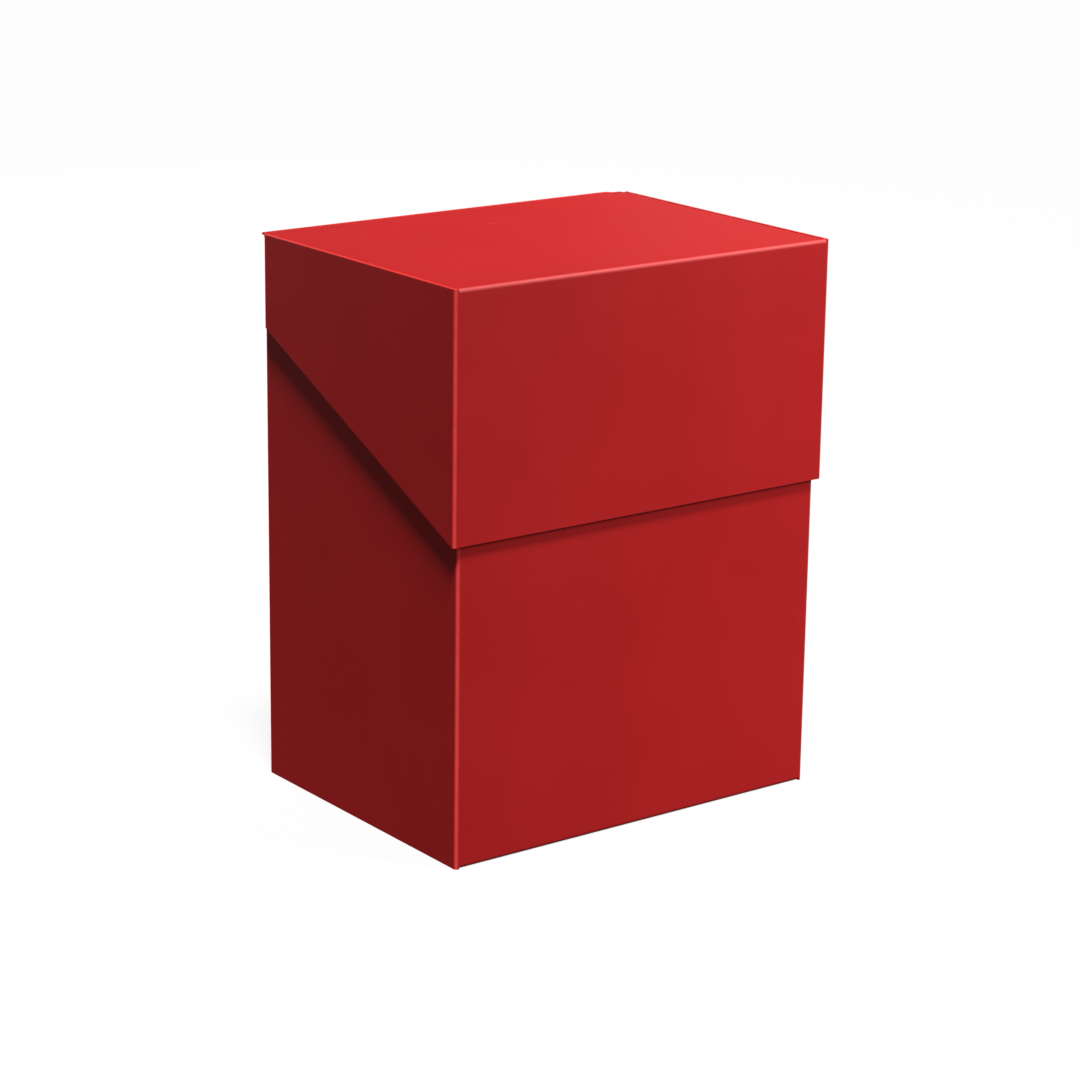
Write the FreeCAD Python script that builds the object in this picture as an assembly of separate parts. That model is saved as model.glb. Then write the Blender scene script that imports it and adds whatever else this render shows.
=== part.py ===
"""Flip-top deck box for sleeved trading cards, folded from scored polypropylene sheet.

Frame: X is the box's width, -Y its front, +Z up. The origin is the middle of the base,
on the surface that the box stands on. Millimetres throughout.
"""
import FreeCAD
import Part
import math
import os

V = FreeCAD.Vector

# ---- driving dimensions -------------------------------------------------------------
lid_width = 76.0            # over the lid's two side walls, the widest place
overall_depth = 56.0        # from the lid's front flap to the back panel
overall_height = 95.0       # from the base to the top of the lid
sheet = 0.5                 # polypropylene sheet
glue = 0.05                 # film of adhesive between two plies
bend_outer = 0.75           # outer radius of a scored and folded edge
side_clearance = 0.15       # between the case's side and the lid's glued tab
front_clearance = 0.2       # between the case's front and the lid's flap
wall_top_gap = 0.4          # from the case's rim up to the underside of the lid
flap_height = 41.0          # lid's front flap, from the top of the lid down
lid_side_height = 15.8      # lid's side wall at its rear edge
lid_side_setback = 1.6      # relief between the lid's side wall and the back face
rear_corner_radius = 1.6    # lid's two rear corners, seen from above
cut_edge_drop = 0.05        # from the lid's top face down to the side walls' cut edges
notch_radius = 11.0         # thumb notch in the case's front panel
notch_shoulder = 2.5        # rounding where the notch meets the rim
free_edge_gap = 0.4         # what a hidden flap's free edge keeps clear of the next panel

# living hinge: a pinched bead between two bevelled edges
bead_radius = sheet / 2
bead_flat = 0.20            # below the axis, where the bead grows out of the back panel
bead_clearance = 0.06       # between the bead and the lid's rear edge
bevel_length = 1.2          # from the axis to where a panel has its full thickness
lid_edge_half = 0.10        # half the thickness of the lid's bevelled rear edge
hinge_overhang = 2.0        # what the bead runs past the back panel at each end

# glued flaps
bottom_tab_reach = 15.0     # how far a bottom tab folds in over the bottom panel
bottom_tab_taper = 4.0
lid_tab_drop = 11.0         # how far a lid tab hangs down inside the lid's side wall
lid_tab_taper = 3.0
glue_inset = 4.0            # bare margin around a glued area

# divider card
divider_width = 69.0
divider_height = 89.0
divider_thick = 0.5
divider_corner = 3.0
divider_play = 0.15         # to the bottom tabs that it stands on
divider_back_gap = 0.6      # from the divider to the back panel at rest

# ---- derived places -----------------------------------------------------------------
bend_inner = bend_outer - sheet
lid_half = lid_width / 2
case_half = lid_half - 2 * sheet - glue - side_clearance
back_y = overall_depth / 2
lid_front_y = -overall_depth / 2
case_front_y = lid_front_y + sheet + front_clearance
lid_under_z = overall_height - sheet
rim_z = lid_under_z - wall_top_gap
inner_ply_x = case_half - sheet - glue          # outer face of the case's inner ply
hinge_y = back_y - sheet / 2
hinge_z = overall_height - sheet / 2
flap_bottom_z = overall_height - flap_height
lid_side_rear_y = back_y - lid_side_setback
lid_side_bottom_z = overall_height - lid_side_height
tab_ply_x = lid_half - sheet - glue             # outer face of the lid's glued tab
lid_tab_y0 = lid_front_y + sheet + free_edge_gap
lid_tab_y1 = lid_side_rear_y - free_edge_gap
lid_tab_z1 = overall_height - bend_outer
floor_top_z = sheet + glue + sheet              # top of the glued bottom tabs


def block(x0, x1, y0, y1, z0, z1):
    """A flat panel given by its two opposite corners."""
    low = V(min(x0, x1), min(y0, y1), min(z0, z1))
    return Part.makeBox(abs(x1 - x0), abs(y1 - y0), abs(z1 - z0), low)


def prism(points, along):
    """A panel with a polygonal outline, extruded by the vector `along`."""
    return Part.Face(Part.makePolygon(points + points[:1])).extrude(along)


def bend(centre, start, end, along, outer=bend_outer):
    """A folded edge: a quarter ring from direction `start` round to `end`, run along."""
    middle = (start + end).normalize()
    inner = outer - sheet

    def arc(radius):
        return Part.Arc(centre + start * radius, centre + middle * radius,
                        centre + end * radius).toShape()

    sides = [Part.makeLine(centre + d * inner, centre + d * outer) for d in (start, end)]
    edges = Part.sortEdges([arc(outer), arc(inner)] + sides)[0]
    return Part.Face(Part.Wire(edges)).extrude(along)


def mirrored(shape):
    """The same piece on the other side of the box."""
    return shape.mirror(V(0, 0, 0), V(1, 0, 0))


# ---- case ---------------------------------------------------------------------------
def front_panel():
    """Front wall, with a round thumb notch in its rim."""
    half = case_half - bend_outer
    wall = block(-half, half, case_front_y, case_front_y + sheet, bend_outer, rim_z)
    cutter = Part.makeCylinder(notch_radius, 3 * sheet, V(0, case_front_y - sheet, rim_z),
                               V(0, 1, 0))
    wall = wall.cut(cutter)
    shoulders = [e for e in wall.Edges
                 if abs(e.Vertexes[0].Z - rim_z) < bend_inner
                 and abs(e.Vertexes[-1].Z - rim_z) < bend_inner
                 and abs(abs(e.CenterOfMass.x) - notch_radius) < bend_inner]
    return wall.makeFillet(notch_shoulder, shoulders)


def back_panel():
    """Back wall, bevelled towards the hinge bead along its upper edge."""
    half = inner_ply_x - bend_outer
    neck = math.sqrt(bead_radius ** 2 - bead_flat ** 2)
    profile = [(back_y - sheet, bend_outer), (back_y, bend_outer),
               (back_y, hinge_z - bevel_length), (hinge_y + neck, hinge_z - bead_flat),
               (hinge_y - neck, hinge_z - bead_flat), (back_y - sheet, hinge_z - bevel_length)]
    return prism([V(-half, y, z) for y, z in profile], V(2 * half, 0, 0))


def side_panel():
    """Outer ply of the left wall, which folds back from the front panel."""
    return block(-case_half, -case_half + sheet, case_front_y + bend_outer, back_y, 0, rim_z)


def glue_flap():
    """Inner ply of the left wall, which folds forward from the back panel."""
    front = case_front_y + sheet + free_edge_gap
    low = sheet + glue + bend_outer
    return block(-inner_ply_x, -inner_ply_x + sheet, front, back_y - bend_outer, low,
                 rim_z - free_edge_gap)


def side_glue():
    """Film of adhesive between the two plies of the left wall."""
    return block(-case_half + sheet, -inner_ply_x, case_front_y + glue_inset,
                 back_y - glue_inset, glue_inset, rim_z - glue_inset)


def bottom_panel():
    half = case_half - bend_outer
    return block(-half, half, case_front_y + bend_outer, back_y - bend_outer, 0, sheet)


def bottom_tab():
    """Left bottom tab: folds in from the inner ply and is glued to the bottom panel."""
    x0 = -inner_ply_x + bend_outer
    x1 = x0 + bottom_tab_reach
    y0 = case_front_y + sheet + free_edge_gap
    y1 = back_y - bend_outer - free_edge_gap
    outline = [(x0, y0), (x1, y0 + bottom_tab_taper), (x1, y1 - bottom_tab_taper), (x0, y1)]
    return prism([V(x, y, sheet + glue) for x, y in outline], V(0, 0, sheet))


def bottom_tab_glue():
    x0 = -inner_ply_x + bend_outer
    y0 = case_front_y + bend_outer + 2 * glue_inset
    y1 = back_y - bend_outer - 2 * glue_inset
    return block(x0 + glue_inset / 2, x0 + bottom_tab_reach - glue_inset / 2, y0, y1,
                 sheet, sheet + glue)


def front_corner_fold():
    """Left front corner of the case, from the front panel to the outer side ply."""
    centre = V(-case_half + bend_outer, case_front_y + bend_outer, 0)
    return bend(centre, V(0, -1, 0), V(-1, 0, 0), V(0, 0, rim_z))


def back_corner_fold():
    """Left back corner of the case, from the back panel to the inner side ply."""
    low = sheet + glue + bend_outer
    centre = V(-inner_ply_x + bend_outer, back_y - bend_outer, low)
    return bend(centre, V(-1, 0, 0), V(0, 1, 0), V(0, 0, rim_z - free_edge_gap - low))


def bottom_front_fold():
    half = case_half - bend_outer
    centre = V(-half, case_front_y + bend_outer, bend_outer)
    return bend(centre, V(0, 0, -1), V(0, -1, 0), V(2 * half, 0, 0))


def bottom_back_fold():
    half = inner_ply_x - bend_outer
    centre = V(-half, back_y - bend_outer, bend_outer)
    return bend(centre, V(0, 1, 0), V(0, 0, -1), V(2 * half, 0, 0))


def bottom_tab_fold():
    """Lower left corner inside, from the inner ply to the bottom tab."""
    y0 = case_front_y + sheet + free_edge_gap
    centre = V(-inner_ply_x + bend_outer, y0, sheet + glue + bend_outer)
    return bend(centre, V(0, 0, -1), V(-1, 0, 0),
                V(0, back_y - bend_outer - free_edge_gap - y0, 0))


def living_hinge():
    """Pinched bead along the back panel's upper edge, round about the hinge's axis."""
    half = inner_ply_x - bend_outer + hinge_overhang
    bead = Part.makeCylinder(bead_radius, 2 * half, V(-half, hinge_y, hinge_z), V(1, 0, 0))
    return bead.cut(block(-half, half, hinge_y - sheet, hinge_y + sheet,
                          hinge_z - bead_flat - sheet, hinge_z - bead_flat))


# ---- lid ----------------------------------------------------------------------------
def lid_top_panel():
    """Top of the lid, bevelled at the rear to meet the hinge bead, rear corners rounded."""
    half = tab_ply_x - bend_outer
    front = lid_front_y + bend_outer
    rear = hinge_y - bead_radius - bead_clearance
    profile = [(front, lid_under_z), (hinge_y - bevel_length, lid_under_z),
               (rear, hinge_z - lid_edge_half), (rear, hinge_z + lid_edge_half),
               (hinge_y - bevel_length, overall_height), (front, overall_height)]
    slab = prism([V(-half, y, z) for y, z in profile], V(2 * half, 0, 0))
    plan = block(-half, half, front, rear, lid_under_z, overall_height)
    corners = [e for e in plan.Edges
               if abs(e.Vertexes[0].Y - rear) < bead_clearance
               and abs(e.Vertexes[-1].Y - rear) < bead_clearance
               and abs(e.CenterOfMass.x) > half - bead_clearance]
    return slab.common(plan.makeFillet(rear_corner_radius, corners))


def lid_front_flap():
    half = lid_half - bend_outer
    return block(-half, half, lid_front_y, lid_front_y + sheet, flap_bottom_z,
                 overall_height - bend_outer)


def lid_side():
    """Left side wall of the lid, cut away towards the rear by one slanting edge."""
    front = lid_front_y + bend_outer
    top = overall_height - cut_edge_drop
    outline = [(front, top), (front, flap_bottom_z),
               (lid_side_rear_y, lid_side_bottom_z), (lid_side_rear_y, top)]
    return prism([V(-lid_half, y, z) for y, z in outline], V(sheet, 0, 0))


def lid_corner_fold():
    """Left front corner of the lid, from the flap to the side wall."""
    centre = V(-lid_half + bend_outer, lid_front_y + bend_outer, flap_bottom_z)
    return bend(centre, V(0, -1, 0), V(-1, 0, 0),
                V(0, 0, overall_height - cut_edge_drop - flap_bottom_z))


def lid_front_fold():
    """Front edge of the lid, from the top panel to the flap."""
    half = lid_half - bend_outer
    centre = V(-half, lid_front_y + bend_outer, overall_height - bend_outer)
    return bend(centre, V(0, -1, 0), V(0, 0, 1), V(2 * half, 0, 0))


def lid_tab():
    """Left tab of the lid, which folds down from the top panel inside the side wall."""
    z0 = lid_tab_z1 - lid_tab_drop
    outline = [(lid_tab_y0, lid_tab_z1), (lid_tab_y0 + lid_tab_taper, z0),
               (lid_tab_y1 - lid_tab_taper, z0), (lid_tab_y1, lid_tab_z1)]
    return prism([V(-tab_ply_x, y, z) for y, z in outline], V(sheet, 0, 0))


def lid_tab_fold():
    """Left edge of the lid's top panel, rounding down to the glued tab."""
    centre = V(-tab_ply_x + bend_outer, lid_tab_y0, lid_tab_z1)
    return bend(centre, V(-1, 0, 0), V(0, 0, 1), V(0, lid_tab_y1 - lid_tab_y0, 0))


def lid_tab_glue():
    """Film of adhesive between the lid's left tab and its side wall."""
    return block(-tab_ply_x, -lid_half + sheet, lid_tab_y0 + glue_inset,
                 lid_tab_y1 - glue_inset, lid_tab_z1 - lid_tab_drop + glue_inset / 2,
                 lid_tab_z1 - glue_inset / 2)


# ---- divider ------------------------------------------------------------------------
def deck_divider():
    """Loose card that parts the deck; it stands on the bottom tabs near the back."""
    half = divider_width / 2
    low = floor_top_z + divider_play
    rear = back_y - sheet - divider_back_gap
    card = block(-half, half, rear - divider_thick, rear, low, low + divider_height)
    corners = [e for e in card.Edges
               if abs(e.Vertexes[0].Y - e.Vertexes[-1].Y) > divider_thick / 2]
    return card.makeFillet(divider_corner, corners)


single_nodes = {
    "front_panel": front_panel,
    "back_panel": back_panel,
    "bottom_panel": bottom_panel,
    "bottom_front_fold": bottom_front_fold,
    "bottom_back_fold": bottom_back_fold,
    "living_hinge": living_hinge,
    "lid_top_panel": lid_top_panel,
    "lid_front_flap": lid_front_flap,
    "lid_front_fold": lid_front_fold,
    "deck_divider": deck_divider,
}
paired_nodes = {
    "side_panel": side_panel,
    "glue_flap": glue_flap,
    "side_glue": side_glue,
    "bottom_tab": bottom_tab,
    "bottom_tab_glue": bottom_tab_glue,
    "bottom_tab_fold": bottom_tab_fold,
    "front_corner_fold": front_corner_fold,
    "back_corner_fold": back_corner_fold,
    "lid_side": lid_side,
    "lid_corner_fold": lid_corner_fold,
    "lid_tab": lid_tab,
    "lid_tab_fold": lid_tab_fold,
    "lid_tab_glue": lid_tab_glue,
}


def build():
    """Every node's solid by name: the single ones, then a left and a right of each pair."""
    shapes = {name: make() for name, make in single_nodes.items()}
    for name, make in paired_nodes.items():
        left = make()
        shapes["left_" + name] = left
        shapes["right_" + name] = mirrored(left)
    return shapes


os.makedirs("parts", exist_ok=True)
for node, shape in build().items():
    shape.exportStep("parts/" + node + ".step")
    print(f"{node}: {len(shape.Solids)} solid, {shape.Volume:.2f} mm3, valid {shape.isValid()}")
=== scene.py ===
# %% [markdown]
# # A flip-top deck box
# The box is folded from one sheet of red polypropylene, 0.5 mm thick, and it keeps a deck of
# sleeved trading cards. This lesson builds every panel, fold and glued lap of it as a piece of
# its own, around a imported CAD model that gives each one's place and size. Lengths are in metres.

# %% Load the frame
import math

import bmesh
import bpy
from mathutils import Matrix, Vector


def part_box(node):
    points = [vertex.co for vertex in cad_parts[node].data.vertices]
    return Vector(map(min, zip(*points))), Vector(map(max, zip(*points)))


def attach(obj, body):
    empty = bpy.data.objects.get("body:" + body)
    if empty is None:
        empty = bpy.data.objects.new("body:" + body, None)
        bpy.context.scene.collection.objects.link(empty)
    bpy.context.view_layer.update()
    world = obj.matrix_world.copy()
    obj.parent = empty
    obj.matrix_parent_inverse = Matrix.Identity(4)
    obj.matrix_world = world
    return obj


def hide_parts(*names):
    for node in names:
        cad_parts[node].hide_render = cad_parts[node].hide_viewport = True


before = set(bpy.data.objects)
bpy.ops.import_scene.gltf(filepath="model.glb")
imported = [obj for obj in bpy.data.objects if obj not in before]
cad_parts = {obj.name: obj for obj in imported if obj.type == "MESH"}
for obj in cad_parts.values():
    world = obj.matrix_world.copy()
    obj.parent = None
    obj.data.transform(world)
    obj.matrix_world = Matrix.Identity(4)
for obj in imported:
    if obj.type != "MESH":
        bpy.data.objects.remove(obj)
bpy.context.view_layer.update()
MM = 0.001

# %% [markdown]
# ## The camera
# A long lens from half a metre keeps the box's upright edges nearly parallel. The camera stands
# in front of the left corner, a little above the lid. It is turned by yaw, pitch and roll, and
# then moved back from its target along the view, so that each number has one plain meaning.

# %% Camera
VIEW_YAW = math.radians(36.96)
VIEW_PITCH = math.radians(16.07)
VIEW_ROLL = math.radians(-0.77)
VIEW_DISTANCE = 544.1 * MM
VIEW_OFFSET = Vector((0.19, -2.26, 0)) * MM     # target right of and below the view's middle
SENSOR = 36.0
FOCAL_LENGTH = 107.0
VIEW_HEIGHT = 45 * MM         # the point the camera turns about is on the box's axis
NEAREST_SEEN = 0.01
FARTHEST_SEEN = 20.0

camera_data = bpy.data.cameras.new("camera")
camera_data.sensor_width = SENSOR
camera_data.lens = FOCAL_LENGTH
camera_data.clip_start = NEAREST_SEEN
camera_data.clip_end = FARTHEST_SEEN
camera = bpy.data.objects.new("camera", camera_data)
bpy.context.scene.collection.objects.link(camera)
bpy.context.scene.camera = camera

turn = (Matrix.Rotation(-VIEW_YAW, 3, "Z") @ Matrix.Rotation(math.pi / 2 - VIEW_PITCH, 3, "X")
        @ Matrix.Rotation(-VIEW_ROLL, 3, "Z"))
target = Vector((0, 0, VIEW_HEIGHT))
step_back = Vector((-VIEW_OFFSET.x, VIEW_OFFSET.y, VIEW_DISTANCE))
camera.matrix_world = Matrix.Translation(target + turn @ step_back) @ turn.to_4x4()
print("camera at", [round(v, 3) for v in camera.matrix_world.translation])

# %% [markdown]
# ## Floor, sky and lights
# A plain, pale floor runs far past the view. Polypropylene in one deep colour shows its form only
# by how bright each face is, so what surrounds the box matters as much as the lamps. The floor
# and the sky look white to the camera but bounce less light back, as black cards beside a small
# set do, so that the left side stays deep. A light path node tells the two uses apart.

# %% Floor and sky
FLOOR_SPAN = 6.0
FLOOR_PAINT = (0.14, 0.14, 0.14, 1)      # takes shadows, for the camera
FLOOR_BOUNCE = (0.10, 0.10, 0.10, 1)     # what the box gets back from the floor
FLOOR_GLOW = (0.81, 0.81, 0.81, 1)       # keeps the floor pale to the horizon
FLOOR_ROUGHNESS = 0.9
FLOOR_SPECULAR = 0.1
SKY_SEEN = (1.0, 1.0, 1.0, 1)
SKY_FILL = (0.11, 0.11, 0.11, 1)
BLACK = (0.0, 0.0, 0.0, 1)


def camera_or_rest(tree, seen, rest, socket):
    """Feeds a socket a colour that is `seen` for the camera and `rest` for other rays."""
    path = tree.nodes.new("ShaderNodeLightPath")
    mix = tree.nodes.new("ShaderNodeMix")
    mix.data_type = "RGBA"
    mix.inputs["A"].default_value = rest
    mix.inputs["B"].default_value = seen
    tree.links.new(path.outputs["Is Camera Ray"], mix.inputs["Factor"])
    tree.links.new(mix.outputs["Result"], socket)


bpy.ops.mesh.primitive_plane_add(size=FLOOR_SPAN, location=(0, 0, 0))
floor = bpy.context.object
floor.name = "floor"
floor_paint = bpy.data.materials.new("floor_paint")
floor_paint.use_nodes = True
floor_shader = floor_paint.node_tree.nodes["Principled BSDF"]
camera_or_rest(floor_paint.node_tree, FLOOR_PAINT, FLOOR_BOUNCE, floor_shader.inputs["Base Color"])
camera_or_rest(floor_paint.node_tree, FLOOR_GLOW, BLACK, floor_shader.inputs["Emission Color"])
floor_shader.inputs["Emission Strength"].default_value = 1.0
floor_shader.inputs["Roughness"].default_value = FLOOR_ROUGHNESS
floor_shader.inputs["Specular IOR Level"].default_value = FLOOR_SPECULAR
floor.data.materials.append(floor_paint)

world = bpy.data.worlds.new("studio")
bpy.context.scene.world = world
world.use_nodes = True
sky_shader = world.node_tree.nodes["Background"]
camera_or_rest(world.node_tree, SKY_SEEN, SKY_FILL, sky_shader.inputs["Color"])
bpy.context.scene.view_settings.view_transform = "Standard"
print("floor", FLOOR_SPAN, "m wide")

# %% [markdown]
# The key is far away and steep, so it is a sun: it lights the floor evenly, and under the lid's
# thin overhang it draws a long, soft shade down the front. Its wide angle gives the soft edge.
# The fill is a near soft box on the right, so it falls off across the front and leaves the left
# end of it a little deeper. A wide, low box behind lifts the top, and a weak one beside it puts a
# glint on the hinge and the lid's far edge.

# %% Lights
SUN_DISTANCE = 1.0            # a sun lights alike from anywhere


def place_lamp(name, kind, direction, distance):
    """A lamp of one kind, facing the box from a direction and distance."""
    lamp_data = bpy.data.lights.new(name, kind)
    lamp = bpy.data.objects.new(name, lamp_data)
    away = Vector(direction).normalized()
    lamp.matrix_world = (Matrix.Translation(target + away * distance)
                         @ away.to_track_quat("Z", "Y").to_matrix().to_4x4())
    bpy.context.scene.collection.objects.link(lamp)
    return lamp_data


def far_light(name, direction, softness_deg, level):
    """A sun. `level` is what a white face turned to it would show."""
    lamp_data = place_lamp(name, "SUN", direction, SUN_DISTANCE)
    lamp_data.angle = math.radians(softness_deg)
    lamp_data.energy = level * math.pi


def soft_box(name, direction, distance, size, level):
    """A square light. `level` is what a white face turned to it would show."""
    lamp_data = place_lamp(name, "AREA", direction, distance)
    lamp_data.shape = "SQUARE"
    lamp_data.size = size
    lamp_data.energy = level * math.pi ** 2 * distance ** 2


far_light("steep_key", (-0.175, -0.295, 0.94), 11, 1.16)
soft_box("right_fill", (0.46, -0.67, 0.48), 0.27, 0.10, 0.90)
soft_box("back_fill", (0.0, 0.98, 0.06), 0.60, 0.30, 0.44)
soft_box("edge_glow", (0.78, 0.60, 0.24), 0.25, 0.10, 0.025)

# %% [markdown]
# ## Shared effects as node groups
# Red polypropylene sheet is calendered, so its skin has a very fine, even grain, a faint cloudy
# unevenness in colour, and hairline scuffs from handling. Where it is scored and folded, or cut,
# the plastic turns paler: stress whitening. On the folds that paleness is pushed further, into a
# painted highlight that stands in for a gloss the lamps don't give. Each effect is a node group
# with named sockets, so that every material can use it with its own strength.

# %% Group helpers


def new_group(name, inputs, outputs):
    """An empty shader node group with float or vector sockets, and its two end nodes."""
    group = bpy.data.node_groups.new(name, "ShaderNodeTree")
    for label, kind in inputs:
        group.interface.new_socket(label, in_out="INPUT", socket_type=kind)
    for label, kind in outputs:
        group.interface.new_socket(label, in_out="OUTPUT", socket_type=kind)
    return group, group.nodes.new("NodeGroupInput"), group.nodes.new("NodeGroupOutput")


def noise(tree, vector, scale, detail=2.0, roughness=0.5):
    """A noise texture's factor, read at `vector`."""
    texture = tree.nodes.new("ShaderNodeTexNoise")
    texture.inputs["Scale"].default_value = scale
    texture.inputs["Detail"].default_value = detail
    texture.inputs["Roughness"].default_value = roughness
    tree.links.new(vector, texture.inputs["Vector"])
    return texture.outputs["Fac"]


def arithmetic(tree, operation, a, b, clamp=False):
    """A math node on two values, each a socket or a number."""
    node = tree.nodes.new("ShaderNodeMath")
    node.operation = operation
    node.use_clamp = clamp
    for value, socket in zip((a, b), node.inputs):
        if isinstance(value, (int, float)):
            socket.default_value = value
        else:
            tree.links.new(value, socket)
    return node.outputs[0]


def band(tree, value, low, high):
    """0 below `low`, 1 above `high`, smooth between."""
    node = tree.nodes.new("ShaderNodeMapRange")
    node.interpolation_type = "SMOOTHSTEP"
    node.inputs["From Min"].default_value = low
    node.inputs["From Max"].default_value = high
    tree.links.new(value, node.inputs["Value"])
    return node.outputs["Result"]


def stretched(tree, vector, scale, turned):
    """The coordinates scaled unevenly and turned, for marks that run one way."""
    node = tree.nodes.new("ShaderNodeMapping")
    node.inputs["Scale"].default_value = scale
    node.inputs["Rotation"].default_value = turned
    tree.links.new(vector, node.inputs["Vector"])
    return node.outputs["Vector"]


# %% [markdown]
# The skin group gives three values: the grain's height for a bump, the slow drift of the colour,
# and sparse hairline scuffs, which are noise stretched along one direction and kept in patches.
# The pale-line group takes a piece's own stress value and breaks it up, so that no pale line is
# perfectly even; on the folds that line is whitening and painted highlight together. Both read the
# coordinates they are given and output plain values.

# %% Calendered skin
VALUE = "NodeSocketFloat"
VECTOR = "NodeSocketVector"
FINE_GRAIN = 5200             # noise scales, in cells per metre
BROAD_GRAIN = 900
GRAIN_SHARE = 0.7             # how much of the grain's height is fine
MOTTLE_SCALE = 34
PATCH_SCALE = 60              # scuffs come in patches of this scale
UNEVEN_SCALE = 420            # how pale lines are broken up
# the least and the spread of the paleness: whitening, and on the folds a painted highlight as well
LEAST_PALENESS = 0.78
PALENESS_SPREAD = 0.45


def make_skin_group():
    """Fine grain height, cloudy mottle and hairline scuffs of a calendered plastic sheet."""
    group, start, end = new_group(
        "calendered_skin", [("Place", VECTOR)],
        [("Grain", VALUE), ("Mottle", VALUE), ("Scuff", VALUE)])
    place = start.outputs["Place"]
    fine = noise(group, place, FINE_GRAIN, 3.0, 0.6)
    broad = noise(group, place, BROAD_GRAIN, 2.0)
    grain = arithmetic(group, "ADD", arithmetic(group, "MULTIPLY", fine, GRAIN_SHARE),
                       arithmetic(group, "MULTIPLY", broad, 1 - GRAIN_SHARE))
    mottle = noise(group, place, MOTTLE_SCALE, 3.0, 0.55)
    streak_a = noise(group, stretched(group, place, (1, 1, 26), (0.5, 0.3, 0.9)), 260, 1.0)
    streak_b = noise(group, stretched(group, place, (24, 1, 1), (0.2, 0.8, 0.4)), 230, 1.0)
    scuff = arithmetic(group, "MAXIMUM", band(group, streak_a, 0.70, 0.78),
                       band(group, streak_b, 0.71, 0.79))
    patchy = band(group, noise(group, place, PATCH_SCALE, 2.0), 0.45, 0.65)
    group.links.new(grain, end.inputs["Grain"])
    group.links.new(mottle, end.inputs["Mottle"])
    group.links.new(arithmetic(group, "MULTIPLY", scuff, patchy), end.inputs["Scuff"])
    return group


def make_pale_line_group():
    """Whitening of folded and cut plastic, with a painted highlight on the folds, broken up so that
    no line is even.
    """
    group, start, end = new_group("whitening_and_fold_highlight", [("Place", VECTOR), ("Stress", VALUE)],
                                  [("Mask", VALUE)])
    place = start.outputs["Place"]
    uneven = noise(group, place, UNEVEN_SCALE, 3.0, 0.6)
    amount = arithmetic(group, "ADD", arithmetic(group, "MULTIPLY", uneven, PALENESS_SPREAD),
                        LEAST_PALENESS)
    group.links.new(arithmetic(group, "MULTIPLY", start.outputs["Stress"], amount, clamp=True),
                    end.inputs["Mask"])
    return group


skin_group = make_skin_group()
pale_line_group = make_pale_line_group()
print("node groups", [g.name for g in bpy.data.node_groups])

# %% [markdown]
# ## The plastic
# One recipe makes each sheet material. The colour drifts a little with the mottle, goes paler
# where a piece's own `stress` attribute says that it was folded or cut, and a scuff is both paler
# and rougher. On a fold that paleness is whitening and a painted highlight together. The grain only
# tilts the light by a hair, since the sheet looks smooth from an arm's length. The specular level
# stays low and constant, because polypropylene is waxy. The lid's two kinds of fold get materials
# of their own, each with its own pale tone of whitening and painted light: the crown along the
# front is palest, a painted highlight where the top meets the front, and the long side folds stay
# nearer to the sheet's red, painted light where they turn away from the lamps.

# %% Sheet material
WAXY_SPECULAR = 0.09
PLASTIC_IOR = 1.49
GRAIN_STRENGTH = 0.10
ROUGH_SPREAD = 0.10           # how much the mottle changes the roughness
SCUFF_ROUGHNESS = 0.30        # what a full scuff adds to it
SHEET_ROUGHNESS = 0.50
GLUE_ROUGHNESS = 0.60
RED_GRAIN = 0.02 * MM
MILKY_GRAIN = 0.03 * MM
GLUE_GRAIN = 0.04 * MM


def blend_colour(tree, factor, a, b):
    """A colour between a and b, each a socket or a colour."""
    mix = tree.nodes.new("ShaderNodeMix")
    mix.data_type = "RGBA"
    tree.links.new(factor, mix.inputs["Factor"])
    for value, label in ((a, "A"), (b, "B")):
        if isinstance(value, tuple):
            mix.inputs[label].default_value = (*value, 1)
        else:
            tree.links.new(value, mix.inputs[label])
    return mix.outputs["Result"]


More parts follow.
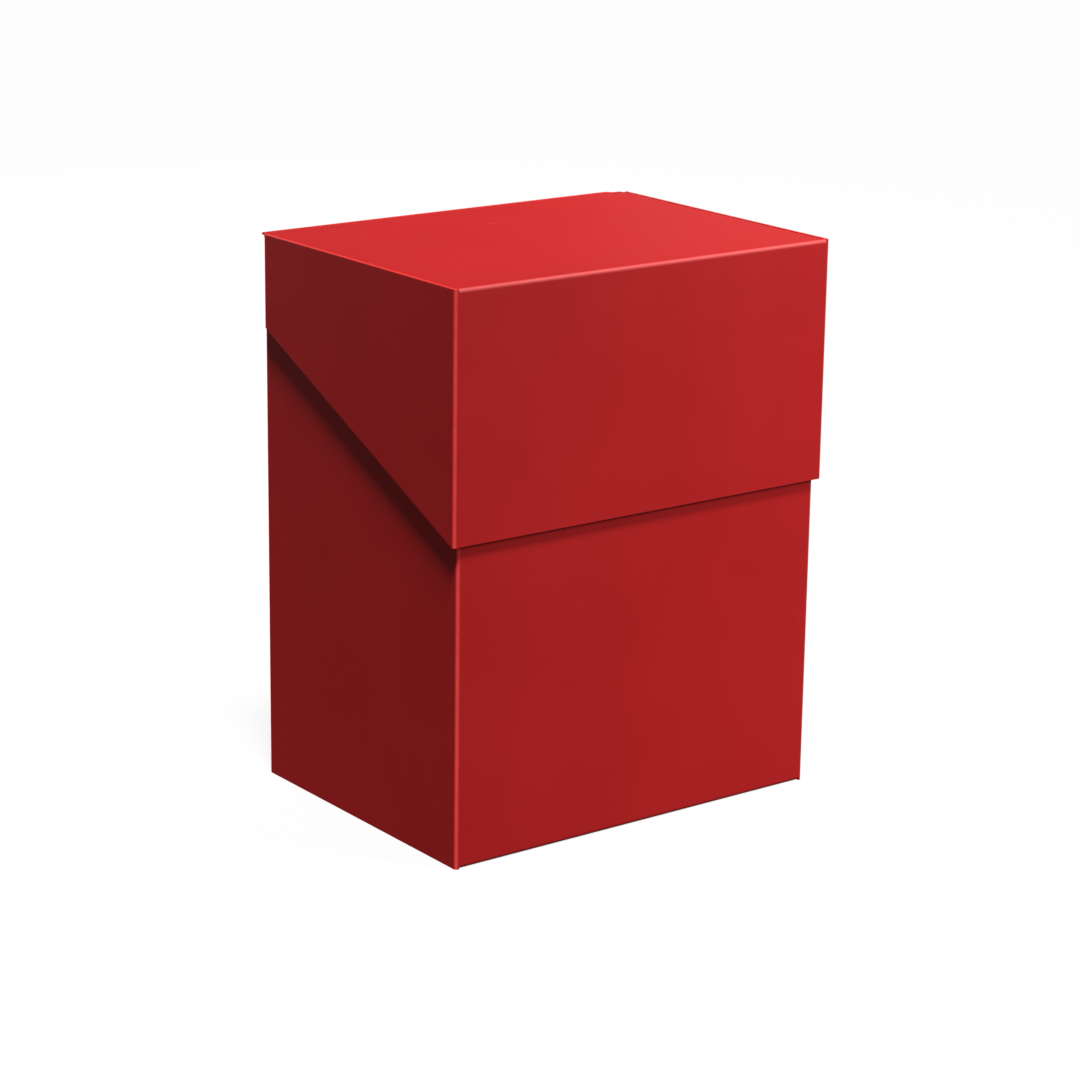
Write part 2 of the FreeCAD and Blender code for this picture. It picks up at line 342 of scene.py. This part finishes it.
def sheet_material(name, deep, light, whitened_and_highlight, rough, grain_depth, scuffed=0.10):
    """Plastic sheet: `deep` to `light` is its mottle, and the pale colour its folds and cut edges,
    whitened, and on folds a painted highlight too.
    """
    material = bpy.data.materials.new(name)
    material.use_nodes = True
    tree = material.node_tree
    shader = tree.nodes["Principled BSDF"]
    place = tree.nodes.new("ShaderNodeTexCoord").outputs["Object"]
    skin = tree.nodes.new("ShaderNodeGroup")
    skin.node_tree = skin_group
    stress = tree.nodes.new("ShaderNodeGroup")
    stress.node_tree = pale_line_group
    marked = tree.nodes.new("ShaderNodeAttribute")
    marked.attribute_name = "stress"
    for group_node in (skin, stress):
        tree.links.new(place, group_node.inputs["Place"])
    tree.links.new(marked.outputs["Fac"], stress.inputs["Stress"])

    mottle = band(tree, skin.outputs["Mottle"], 0.30, 0.70)
    colour = blend_colour(tree, mottle, deep, light)
    scuff = arithmetic(tree, "MULTIPLY", skin.outputs["Scuff"], scuffed)
    colour = blend_colour(tree, scuff, colour, whitened_and_highlight)
    # the pale line on folds and cut edges; on the folds it is a painted highlight as well as
    # whitening
    colour = blend_colour(tree, stress.outputs["Mask"], colour, whitened_and_highlight)
    tree.links.new(colour, shader.inputs["Base Color"])

    uneven = arithmetic(tree, "MULTIPLY", skin.outputs["Mottle"], ROUGH_SPREAD)
    base_rough = arithmetic(tree, "ADD", uneven, rough - ROUGH_SPREAD / 2)
    scuffed_rough = arithmetic(tree, "MULTIPLY", scuff, SCUFF_ROUGHNESS)
    total = arithmetic(tree, "ADD", base_rough, scuffed_rough)
    tree.links.new(total, shader.inputs["Roughness"])
    shader.inputs["Specular IOR Level"].default_value = WAXY_SPECULAR
    shader.inputs["Diffuse Roughness"].default_value = 1.0
    shader.inputs["IOR"].default_value = PLASTIC_IOR

    bump = tree.nodes.new("ShaderNodeBump")
    bump.inputs["Strength"].default_value = GRAIN_STRENGTH
    bump.inputs["Distance"].default_value = grain_depth
    tree.links.new(skin.outputs["Grain"], bump.inputs["Height"])
    tree.links.new(bump.outputs["Normal"], shader.inputs["Normal"])
    return material


# the pale colours run up to full red: on the folds they are a painted highlight as well as
# whitening
LID_DEEP, LID_LIGHT = (0.396, 0.0126, 0.0134), (0.418, 0.0141, 0.0148)
case_red = sheet_material("case_red", (0.388, 0.0122, 0.0130), (0.410, 0.0137, 0.0144),
                          (1.0, 0.088, 0.086), SHEET_ROUGHNESS, RED_GRAIN)
lid_red = sheet_material("lid_red", LID_DEEP, LID_LIGHT, (1.0, 0.084, 0.082),
                         SHEET_ROUGHNESS, RED_GRAIN)
# the front crown's pale pink is whitening and a painted highlight, the brightest on the lid
crown_whitened_highlight = sheet_material("crown_whitened_highlight", LID_DEEP, LID_LIGHT, (0.73, 0.134, 0.130),
                           SHEET_ROUGHNESS, RED_GRAIN)
# the side folds' colour: whitening, and painted light that keeps each fold bright where it turns
# from the lamps
edge_whitened_lit = sheet_material("edge_whitened_lit", LID_DEEP, LID_LIGHT, (0.96, 0.040, 0.042),
                          SHEET_ROUGHNESS, RED_GRAIN)
milky_sheet = sheet_material("milky_sheet", (0.70, 0.71, 0.70), (0.78, 0.79, 0.78),
                             (0.88, 0.89, 0.89), SHEET_ROUGHNESS, MILKY_GRAIN)
glue_film = sheet_material("glue_film", (0.60, 0.56, 0.48), (0.72, 0.68, 0.58),
                           (0.80, 0.77, 0.70), GLUE_ROUGHNESS, GLUE_GRAIN, scuffed=0.0)
print("materials", [m.name for m in bpy.data.materials])

# %% [markdown]
# ## Working in edit mode
# Every panel starts as a cube laid over its CAD node and is then shaped in edit mode. An
# operator acts on whatever is selected, so these helpers first clear the selection and then pick
# faces or edges by where they are.

# %% Selection helpers
TINY = 1e-6
AXES = {"x": Vector((1, 0, 0)), "y": Vector((0, 1, 0)), "z": Vector((0, 0, 1))}


def only(piece):
    """Selects this piece alone."""
    bpy.ops.object.select_all(action="DESELECT")
    piece.select_set(True)
    bpy.context.view_layer.objects.active = piece


def pick(piece, kind, test):
    """In edit mode, selects the faces, edges or points that pass the test."""
    bpy.ops.mesh.select_mode(type=kind)
    bpy.ops.mesh.select_all(action="DESELECT")
    shape = bmesh.from_edit_mesh(piece.data)
    for part in {"FACE": shape.faces, "EDGE": shape.edges, "VERT": shape.verts}[kind]:
        part.select_set(test(part))
    shape.select_flush_mode()
    bmesh.update_edit_mesh(piece.data)


def block(name, low, high):
    """A cube stretched over the box from low to high, with its place in its mesh."""
    bpy.ops.object.select_all(action="DESELECT")
    bpy.ops.mesh.primitive_cube_add(size=1, location=(low + high) / 2)
    piece = bpy.context.object
    piece.name = name
    piece.data.name = name
    piece.scale = high - low
    bpy.ops.object.transform_apply(location=True, rotation=True, scale=True)
    return piece


def trim(piece, point, normal):
    """Cuts away what lies on the normal's side of a plane, and closes the cut."""
    only(piece)
    bpy.ops.object.mode_set(mode="EDIT")
    bpy.ops.mesh.select_all(action="SELECT")
    bpy.ops.mesh.bisect(plane_co=point, plane_no=normal, use_fill=True, clear_outer=True,
                        threshold=TINY)
    bpy.ops.object.mode_set(mode="OBJECT")


def bevel_edges(piece, width, steps, test):
    """Rounds the edges that pass the test."""
    only(piece)
    bpy.ops.object.mode_set(mode="EDIT")
    pick(piece, "EDGE", test)
    bpy.ops.mesh.bevel(offset=width, segments=steps, affect="EDGES")
    bpy.ops.object.mode_set(mode="OBJECT")


# %% [markdown]
# ## Cut edges and folded edges
# A die cuts the sheet's outline, so a free edge is square with the very corner rubbed off. An
# edge that runs on into a fold stays sharp, or a groove would show where there is none. `soften`
# therefore only touches the sides it is given. Then `mark_cuts` insets the two broad faces by a
# hair, so that smooth shading bends only in that narrow rim and the rest stays flat, and writes
# the piece's `stress` attribute: some on the cut edges, none on the broad faces.

# %% Edge helpers
CUT_ROUND = 0.07 * MM
CUT_STEPS = 2
CUT_STRESS = 0.35
SHADING_RIM = 0.12 * MM
BROAD_SIDE = 0.98             # a broad side's normal points this much through the sheet
FLAT_SIDE = 0.999             # the same for a side that isn't pinched either
SMOOTH_ANGLE = math.radians(35)


def side_value(piece, side):
    """The coordinate of a piece's side such as "-x", and the axis number it is on."""
    axis = "xyz".index(side[1])
    values = [v.co[axis] for v in piece.data.vertices]
    return axis, (min(values) if side[0] == "-" else max(values))


def soften(piece, free_sides):
    """Rounds the cut edges on the given sides by a hair."""
    places = [side_value(piece, side) for side in free_sides]

    def on_free_side(edge):
        return any(all(abs(v.co[axis] - value) < TINY for v in edge.verts)
                   for axis, value in places)

    bevel_edges(piece, CUT_ROUND, CUT_STEPS, on_free_side)


def mark_cuts(piece, level=CUT_STRESS):
    """Writes how stressed each face is: the cut edges are, the two broad sides aren't."""
    thin = min(range(3), key=lambda axis: piece.dimensions[axis])
    only(piece)
    bpy.ops.object.mode_set(mode="EDIT")
    pick(piece, "FACE", lambda face: abs(face.normal[thin]) > FLAT_SIDE)
    bpy.ops.mesh.inset(thickness=SHADING_RIM)
    bpy.ops.object.mode_set(mode="OBJECT")
    stress = piece.data.attributes.new("stress", "FLOAT", "FACE")
    stress.data.foreach_set("value", [0.0 if abs(face.normal[thin]) > BROAD_SIDE else level
                                      for face in piece.data.polygons])


def open_edges(piece):
    """How many edges don't have exactly two faces."""
    shape = bmesh.new()
    shape.from_mesh(piece.data)
    count = sum(1 for edge in shape.edges if len(edge.link_faces) != 2)
    shape.free()
    return count


def settle(piece, body, nodes, material):
    """Finishes a piece: shading, material, the body it rides on and the nodes it stands for."""
    only(piece)
    bpy.ops.object.shade_smooth_by_angle(angle=SMOOTH_ANGLE)
    piece.data.materials.clear()
    piece.data.materials.append(material)
    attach(piece, body)
    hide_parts(*nodes)
    print(piece.name, "faces", len(piece.data.polygons), "open edges", open_edges(piece))
    return piece


def mirror_piece(piece, name):
    """The same piece for the other side of the box, with a mesh of its own."""
    only(piece)
    bpy.ops.object.duplicate(linked=False)
    twin = bpy.context.object
    twin.name = name
    twin.data.name = name
    twin.scale = (-1, 1, 1)
    bpy.ops.object.transform_apply(location=False, rotation=False, scale=True)
    bpy.ops.object.mode_set(mode="EDIT")
    bpy.ops.mesh.select_all(action="SELECT")
    bpy.ops.mesh.normals_make_consistent(inside=False)
    bpy.ops.object.mode_set(mode="OBJECT")
    return twin


def settle_pair(left, name, body, node, material):
    """Finishes a left piece and its mirrored right twin."""
    right = mirror_piece(left, "right_" + name)
    settle(left, body, ["left_" + node], material)
    settle(right, body, ["right_" + node], material)


# %% [markdown]
# ## A folded edge
# The sheet bends through a right angle at each score line. The quickest way to the true shape is
# the way the sheet takes it: stand the sheet's cut section at the start of the bend, a thin
# rectangle as long as the fold, and spin it through a quarter turn about the bend's centre. A
# fold is the most stressed plastic on the box, and most of all along its crown, so its attribute
# rises from nothing at both ends of the turn to its full level between them. That pale line is
# whitening and a painted highlight together, brighter than whitening alone.

# %% Fold helper
FOLD_STEPS = 14
FULL_STRESS = 1.0
EVEN_LINE = 2.5               # the power that gives a fold's pale line its usual width
CENTRED = 1.0                 # the pale line runs along the fold's middle


def signed(direction):
    """The unit vector named by a side such as "-x"."""
    return AXES[direction[1]] * (-1 if direction[0] == "-" else 1)


def fold(name, node, first, second, stress_level=FULL_STRESS, narrow=EVEN_LINE, lean=CENTRED):
    """A quarter bend whose outer faces look to the two named sides, palest along its middle, where
    it is whitened and carries a painted highlight.

    A larger `narrow` makes a thinner pale line, and `lean` under 1 moves it to the first side.
    """
    low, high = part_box(node)
    out_a, out_b = signed(first), signed(second)
    along = out_a.cross(out_b)
    middle = (low + high) / 2
    half = (high - low) / 2
    reach = [abs(half.dot(out_a)), abs(half.dot(out_b))]
    centre = middle - out_a * reach[0] - out_b * reach[1]
    outer = 2 * reach[0]
    length = 2 * abs(half.dot(along))
    bpy.ops.object.select_all(action="DESELECT")
    bpy.ops.mesh.primitive_plane_add(size=1)
    piece = bpy.context.object
    piece.name = name
    piece.data.name = name
    columns = Matrix((out_a * SHEET, along * length, out_a.cross(along))).transposed()
    piece.matrix_world = (Matrix.Translation(centre + out_a * (outer - SHEET / 2))
                          @ columns.to_4x4())
    bpy.ops.object.transform_apply(location=True, rotation=True, scale=True)
    bpy.ops.object.mode_set(mode="EDIT")
    bpy.ops.mesh.select_all(action="SELECT")
    bpy.ops.mesh.spin(steps=FOLD_STEPS, angle=-math.pi / 2, center=centre, axis=along)
    bpy.ops.mesh.select_all(action="SELECT")
    bpy.ops.mesh.remove_doubles(threshold=TINY)
    bpy.ops.mesh.fill_holes(sides=4)
    bpy.ops.mesh.select_all(action="SELECT")
    bpy.ops.mesh.normals_make_consistent(inside=False)
    bpy.ops.object.mode_set(mode="OBJECT")
    stress = piece.data.attributes.new("stress", "FLOAT", "POINT")
    values = []
    for vertex in piece.data.vertices:
        arm = vertex.co - centre
        bend = math.atan2(arm.dot(out_b), arm.dot(out_a)) / (math.pi / 2)
        across = min(max(bend, 0.0), 1.0) ** lean
        # the pale line's level along the turn: whitening, and on the brighter folds a painted
        # highlight
        values.append(stress_level * math.sin(math.pi * across) ** narrow)
    stress.data.foreach_set("value", values)
    made = [Vector(c) for c in (min_corner(piece), max_corner(piece))]
    print(name, "off by", round(max((made[0] - low).length, (made[1] - high).length) / MM, 4))
    return piece


def min_corner(piece):
    return [min(v.co[i] for v in piece.data.vertices) for i in range(3)]


def max_corner(piece):
    return [max(v.co[i] for v in piece.data.vertices) for i in range(3)]


back_low, back_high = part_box("back_panel")
SHEET = back_high.y - back_low.y
print("sheet", round(SHEET / MM, 3), "mm")

# %% [markdown]
# ## The case's walls
# The front panel carries the two outer side plies with it, one folded back at each corner. The
# side plies are plain cut rectangles whose rear, upper and lower edges are free. The inner plies
# come forward from the back panel and hide inside. All four are blocks laid over their nodes,
# with only the free edges softened.

# %% Side walls


def panel(name, node, free_sides):
    """A flat panel over its node, its free cut edges softened and its rims marked."""
    piece = block(name, *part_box(node))
    soften(piece, free_sides)
    mark_cuts(piece)
    return piece


side = panel("left_side_wall", "left_side_panel", ("+y", "-z", "+z"))
settle_pair(side, "side_wall", "case", "side_panel", case_red)
inner_ply = panel("left_inner_wall", "left_glue_flap", ("-y", "+z"))
settle_pair(inner_ply, "inner_wall", "case", "glue_flap", case_red)

# %% [markdown]
# The front wall has a round thumb notch in its rim, so that the cards can be pinched. A die cuts
# the notch and its two rounded shoulders in one stroke, and here two cutters do the same: a round
# bar for the notch, and a flat bar for the shoulders, which two thin rods hollow first so that it
# leaves round corners. A shoulder's centre lies where its circle touches both notch and rim.

# %% Front wall
NOTCH_RADIUS = 11 * MM
NOTCH_STEPS = 96
SHOULDER_RADIUS = 2.5 * MM
SHOULDER_STEPS = 48
CUTTER_REACH = 3 * MM         # how far a cutter sticks out of the wall, on both sides
SLIVER = 0.05 * MM            # where two cuts meet, points this near are one

front_low, front_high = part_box("front_panel")


def rod(radius, x, z, steps):
    """A bar standing through the front wall."""
    bpy.ops.object.select_all(action="DESELECT")
    bpy.ops.mesh.primitive_cylinder_add(vertices=steps, radius=radius, depth=2 * CUTTER_REACH,
                                        location=(x, front_low.y, z),
                                        rotation=(math.pi / 2, 0, 0))
    return bpy.context.object


def cut_with(piece, cutter):
    """Takes the cutter's shape out of the piece."""
    only(piece)
    cut = piece.modifiers.new("cut", "BOOLEAN")
    cut.operation = "DIFFERENCE"
    cut.object = cutter
    bpy.ops.object.modifier_apply(modifier=cut.name)
    bpy.data.objects.remove(cutter)


centres_apart = NOTCH_RADIUS + SHOULDER_RADIUS
shoulder_x = math.sqrt(centres_apart ** 2 - SHOULDER_RADIUS ** 2)
touch_depth = SHOULDER_RADIUS * NOTCH_RADIUS / centres_apart
flare_low = Vector((-shoulder_x, front_low.y - CUTTER_REACH, front_high.z - touch_depth))
flare_high = Vector((shoulder_x, front_low.y + CUTTER_REACH, front_high.z + CUTTER_REACH))
flare = block("flare", flare_low, flare_high)
for x in (-shoulder_x, shoulder_x):
    cut_with(flare, rod(SHOULDER_RADIUS, x, front_high.z - SHOULDER_RADIUS, SHOULDER_STEPS))

front = block("front_wall", front_low, front_high)
cut_with(front, rod(NOTCH_RADIUS, 0, front_high.z, NOTCH_STEPS))
cut_with(front, flare)
only(front)
bpy.ops.object.mode_set(mode="EDIT")
bpy.ops.mesh.select_all(action="SELECT")
bpy.ops.mesh.remove_doubles(threshold=SLIVER)
bpy.ops.object.mode_set(mode="OBJECT")
print("notch", round(2 * shoulder_x / MM, 2), "mm wide over its shoulders")


def rim_or_notch(edge):
    """The long edges of the rim, straight or round, on either face."""
    same_face = abs(edge.verts[0].co.y - edge.verts[1].co.y) < TINY
    low_point = front_high.z - NOTCH_RADIUS - SHEET
    inside = all(abs(v.co.x) < front_high.x - TINY or abs(v.co.z - front_high.z) < TINY
                 for v in edge.verts)
    return same_face and inside and all(v.co.z > low_point for v in edge.verts)


bevel_edges(front, CUT_ROUND, CUT_STEPS, rim_or_notch)
mark_cuts(front)
settle(front, "case", ["front_panel"], case_red)

# %% [markdown]
# The back wall thins towards the hinge: the blank is pinched there on both faces. Two cuts by
# slanting planes turn the block's square upper edge into that wedge. The planes run from where
# the wall has its full thickness to the flat that the hinge bead grows from.

# %% Back wall and base
hinge_low, hinge_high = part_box("living_hinge")
BEAD_RADIUS = (hinge_high.y - hinge_low.y) / 2
HINGE_Y = (hinge_low.y + hinge_high.y) / 2
HINGE_Z = hinge_high.z - BEAD_RADIUS
BEVEL_LENGTH = 1.2 * MM
neck = math.sqrt(BEAD_RADIUS ** 2 - (HINGE_Z - hinge_low.z) ** 2)


def wedge_cut(piece, full, thin):
    """Trims from the full-thickness line to the thin edge, both given as (y, z) points."""
    run = Vector((0, thin[0] - full[0], thin[1] - full[1]))
    outward = run.cross(AXES["x"]).normalized()
    middle = sum((v.co for v in piece.data.vertices), Vector()) / len(piece.data.vertices)
    start = Vector((0, *full))
    if (middle - start).dot(outward) > 0:
        outward.negate()
    trim(piece, start, outward)


back = block("back_wall", *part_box("back_panel"))
for y_full, y_thin in ((back_high.y, HINGE_Y + neck), (back_low.y, HINGE_Y - neck)):
    wedge_cut(back, (y_full, HINGE_Z - BEVEL_LENGTH), (y_thin, back_high.z))
mark_cuts(back)
settle(back, "case", ["back_panel"], case_red)

base = panel("base_panel", "bottom_panel", ("-x", "+x"))
settle(base, "case", ["bottom_panel"], case_red)

# %% [markdown]
# Two tabs fold in from the inner plies and lie glued on the base. Their corners are cut back on a
# slant so that they slip past the corners when the blank is folded up. The slant's two ends are
# read from the node, and one plane trims each corner.

# %% Bottom tabs


def outline_points(node, axis, side):
    """The node's points on one side, low or high along an axis, as vectors."""
    points = [v.co.copy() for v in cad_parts[node].data.vertices]
    values = [p[axis] for p in points]
    edge = min(values) if side == "low" else max(values)
    return [p for p in points if abs(p[axis] - edge) < TINY]


def trim_slant(piece, a, b, through):
    """Trims along the line a to b, extended through the sheet, on the side away from the piece."""
    outward = (b - a).cross(through).normalized()
    middle = sum((v.co for v in piece.data.vertices), Vector()) / len(piece.data.vertices)
    if (middle - a).dot(outward) > 0:
        outward.negate()
    trim(piece, a, outward)


tab = block("left_base_tab", *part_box("left_bottom_tab"))
narrow = outline_points("left_bottom_tab", 0, "high")
wide = outline_points("left_bottom_tab", 0, "low")
for choose in (min, max):
    trim_slant(tab, choose(wide, key=lambda p: p.y), choose(narrow, key=lambda p: p.y), AXES["z"])
soften(tab, ("+x",))
mark_cuts(tab)
settle_pair(tab, "base_tab", "case", "bottom_tab", case_red)

# %% [markdown]
# ## The case's folds
# Each fold is the same quarter bend, laid over its own node. The two named sides say which way
# its outer faces look.

# %% Case folds
BASE_STRESS = 0.15            # the base's folds hardly show, so they whiten little
# full level on the upright folds gives them a painted highlight along with their whitening
for name, node, sides, level in (("front_crease", "front_corner_fold", ("-x", "-y"), FULL_STRESS),
                                 ("back_crease", "back_corner_fold", ("-x", "+y"), FULL_STRESS),
                                 ("tab_crease", "bottom_tab_fold", ("-x", "-z"), BASE_STRESS)):
    crease = fold("left_" + name, "left_" + node, *sides, level)
    settle_pair(crease, name, "case", node, case_red)
for name, node, sides in (("base_front_crease", "bottom_front_fold", ("-y", "-z")),
                          ("base_back_crease", "bottom_back_fold", ("+y", "-z"))):
    settle(fold(name, node, *sides, BASE_STRESS), "case", [node], case_red)

# %% [markdown]
# ## The living hinge
# A living hinge is the sheet itself, pinched thin along a line until it bends like leather. Drawn
# as a round bead on the hinge's axis it looks joined at every angle of the lid, because a round
# bar looks the same from all round. It starts as a cylinder laid along the axis; a plane cuts the
# flat that sits on the back wall, and a slanting one lets the right end run out behind the lid's
# rounded corner. A bevel takes the sharpness off the left end, where a little nib shows.

# %% Hinge bead
BEAD_SEGMENTS = 40
BEAD_END_ROUND = 0.4 * BEAD_RADIUS
BEAD_END_STEPS = 3
BEAD_STRESS = 0.3
BEAD_RUN_OUT = (3.4 * MM, 1.6 * MM)    # the right end thins from the first to the second
bead_length = hinge_high.x - hinge_low.x
bpy.ops.object.select_all(action="DESELECT")
bpy.ops.mesh.primitive_cylinder_add(vertices=BEAD_SEGMENTS, radius=BEAD_RADIUS, depth=bead_length,
                                    location=(0, HINGE_Y, HINGE_Z), rotation=(0, math.pi / 2, 0))
bead = bpy.context.object
bead.name = "hinge_bead"
bead.data.name = "hinge_bead"
bpy.ops.object.transform_apply(location=True, rotation=True, scale=True)
trim(bead, Vector((0, 0, hinge_low.z)), -AXES["z"])
run_out_top, run_out_tip = (Vector((hinge_high.x - back_by, 0, z)) for back_by, z
                            in zip(BEAD_RUN_OUT, (hinge_high.z, hinge_low.z)))
trim(bead, run_out_top, (run_out_tip - run_out_top).cross(AXES["y"]))
axis, end = side_value(bead, "-x")
bevel_edges(bead, BEAD_END_ROUND, BEAD_END_STEPS,
            lambda edge: all(abs(v.co[axis] - end) < TINY for v in edge.verts))
whitened_and_highlight = bead.data.attributes.new("stress", "FLOAT", "POINT")
whitened_and_highlight.data.foreach_set("value", [BEAD_STRESS] * len(bead.data.vertices))
settle(bead, "case", ["living_hinge"], case_red)

# %% [markdown]
# ## The lid
# The lid's top is a panel with its right rear corner rounded, its left one hardly at all, and its
# rear edge pinched for the hinge, as on the back wall. A bevel on one upright edge each rounds
# the corners, and two slanting planes pinch the edge.

# %% Lid top
RIGHT_CORNER = 1.6 * MM
LEFT_CORNER = 0.25 * MM       # hardly rounded: the hinge's nib stands beside it
CORNER_STEPS = 8
LID_EDGE_HALF = 0.10 * MM
top_low, top_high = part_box("lid_top_panel")
top = block("lid_top", top_low, top_high)
for corner_x, radius in ((top_low.x, LEFT_CORNER), (top_high.x, RIGHT_CORNER)):
    bevel_edges(top, radius, CORNER_STEPS, lambda edge: all(
        abs(v.co.y - top_high.y) < TINY and abs(v.co.x - corner_x) < TINY
        for v in edge.verts))
for z_full, z_thin in ((top_high.z, HINGE_Z + LID_EDGE_HALF), (top_low.z, HINGE_Z - LID_EDGE_HALF)):
    wedge_cut(top, (HINGE_Y - BEVEL_LENGTH, z_full), (top_high.y, z_thin))
mark_cuts(top)
settle(top, "lid", ["lid_top_panel"], lid_red)

# %% [markdown]
# The deep front flap carries the lid's side walls, one folded back at each corner. The die's
# slanting cut takes each side wall from the flap's full depth to a narrow strip at the rear. The
# wall is a block, and one plane through the two ends of that slant, read from the node, cuts it.

# %% Lid front and sides
PARALLEL = 0.9999             # two directions whose cosine is more than this run alike
flap = panel("lid_flap", "lid_front_flap", ("-z",))
settle(flap, "lid", ["lid_front_flap"], lid_red)

lid_side = block("left_lid_wall", *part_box("left_lid_side"))
front_foot = min(outline_points("left_lid_side", 1, "low"), key=lambda p: p.z)
rear_foot = min(outline_points("left_lid_side", 1, "high"), key=lambda p: p.z)
soften(lid_side, ("+y", "+z"))
trim_slant(lid_side, front_foot, rear_foot, AXES["x"])


def on_slant(edge):
    """Whether an edge of the lid's side wall runs along its slanting cut."""
    run = (rear_foot - front_foot).normalized()
    along = (edge.verts[1].co - edge.verts[0].co).normalized()
    return abs(along.dot(run)) > PARALLEL


bevel_edges(lid_side, CUT_ROUND, CUT_STEPS, on_slant)
mark_cuts(lid_side)
settle_pair(lid_side, "lid_wall", "lid", "lid_side", lid_red)

# %% [markdown]
# A tab folds down from each side of the lid's top and is glued inside the side wall, with its two
# lower corners cut back on a slant. The lid's folds are quarter bends like the case's. The long
# ones beside the top are palest near their outer side, where the fold turns away from the lamps:
# that paleness is painted light as well as whitening. The right one's rear end is cut on a
# slant to carry on the top's rounded corner, and the left one's is drawn out to fill its square
# corner. They start as mirror images, and each then gets its own end.

# %% Lid tabs and folds
REAR_SLANT = 1.2 * MM         # the right fold's rear end carries on the top's rounded corner
REAR_REACH = 1.4 * MM         # the left fold's runs on almost to the hinge bead
# the side folds' pale line is whitening and painted light, leaning to where the fold turns from the
# light
EDGE_LINE, EDGE_LEAN = 1.6, 0.5         # a broad pale line, leaning to the side wall
CROWN_STRESS, CROWN_LINE = 0.9, 3.5     # a thin one
lid_tab = block("left_top_tab", *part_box("left_lid_tab"))
upper = outline_points("left_lid_tab", 2, "high")
lower = outline_points("left_lid_tab", 2, "low")
for choose in (min, max):
    trim_slant(lid_tab, choose(upper, key=lambda p: p.y), choose(lower, key=lambda p: p.y),
               AXES["x"])
soften(lid_tab, ("-z",))
mark_cuts(lid_tab)
settle_pair(lid_tab, "top_tab", "lid", "lid_tab", lid_red)

# the lid's upright corner fold: whitening and a painted highlight, like the case's
corner_crease = fold("left_lid_corner_crease", "left_lid_corner_fold", "-x", "-y")
settle_pair(corner_crease, "lid_corner_crease", "lid", "lid_corner_fold", lid_red)

edge_crease = fold("left_lid_edge_crease", "left_lid_tab_fold", "-x", "+z", FULL_STRESS,
                   EDGE_LINE, EDGE_LEAN)
edge_low, edge_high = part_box("left_lid_tab_fold")
right_crease = mirror_piece(edge_crease, "right_lid_edge_crease")
edge_outer_end = Vector((-edge_low.x, edge_high.y - REAR_SLANT, edge_low.z))
edge_inner_end = Vector((-edge_high.x, edge_high.y, edge_low.z))
trim_slant(right_crease, edge_outer_end, edge_inner_end, AXES["z"])
settle(right_crease, "lid", ["right_lid_tab_fold"], edge_whitened_lit)

only(edge_crease)
bpy.ops.object.mode_set(mode="EDIT")
pick(edge_crease, "VERT", lambda vertex: abs(vertex.co.y - edge_high.y) < TINY)
bpy.ops.transform.translate(value=(0, REAR_REACH, 0))
bpy.ops.object.mode_set(mode="OBJECT")
settle(edge_crease, "lid", ["left_lid_tab_fold"], edge_whitened_lit)

# the crown fold: its pale line is whitening and a painted highlight
front_crease = fold("lid_front_crease", "lid_front_fold", "-y", "+z", CROWN_STRESS, CROWN_LINE)
settle(front_crease, "lid", ["lid_front_fold"], crown_whitened_highlight)

# %% [markdown]
# ## The divider
# The box's loose card is milky polypropylene with rounded corners. It is one thin block: a bevel
# on the four edges through the sheet rounds the corners, and a second, tiny one takes the edge
# off the cut.

# %% Divider
DIVIDER_CORNER = 3 * MM
card = block("divider_card", *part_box("deck_divider"))
bevel_edges(card, DIVIDER_CORNER, CORNER_STEPS,
            lambda edge: abs(edge.verts[0].co.y - edge.verts[1].co.y) > TINY)
bevel_edges(card, CUT_ROUND, CUT_STEPS,
            lambda edge: abs(edge.verts[0].co.y - edge.verts[1].co.y) < TINY)
mark_cuts(card)
settle(card, "divider", ["deck_divider"], milky_sheet)

# %% [markdown]
# ## Glue films
# The films of adhesive between the plies are as thin and as plain on the real box as in the CAD
# model, and no view shows more than their edges. They keep their CAD shape and only get a finish.

# %% Glue films
for node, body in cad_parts.items():
    if node.endswith("glue"):
        body.data.materials.clear()
        body.data.materials.append(glue_film)
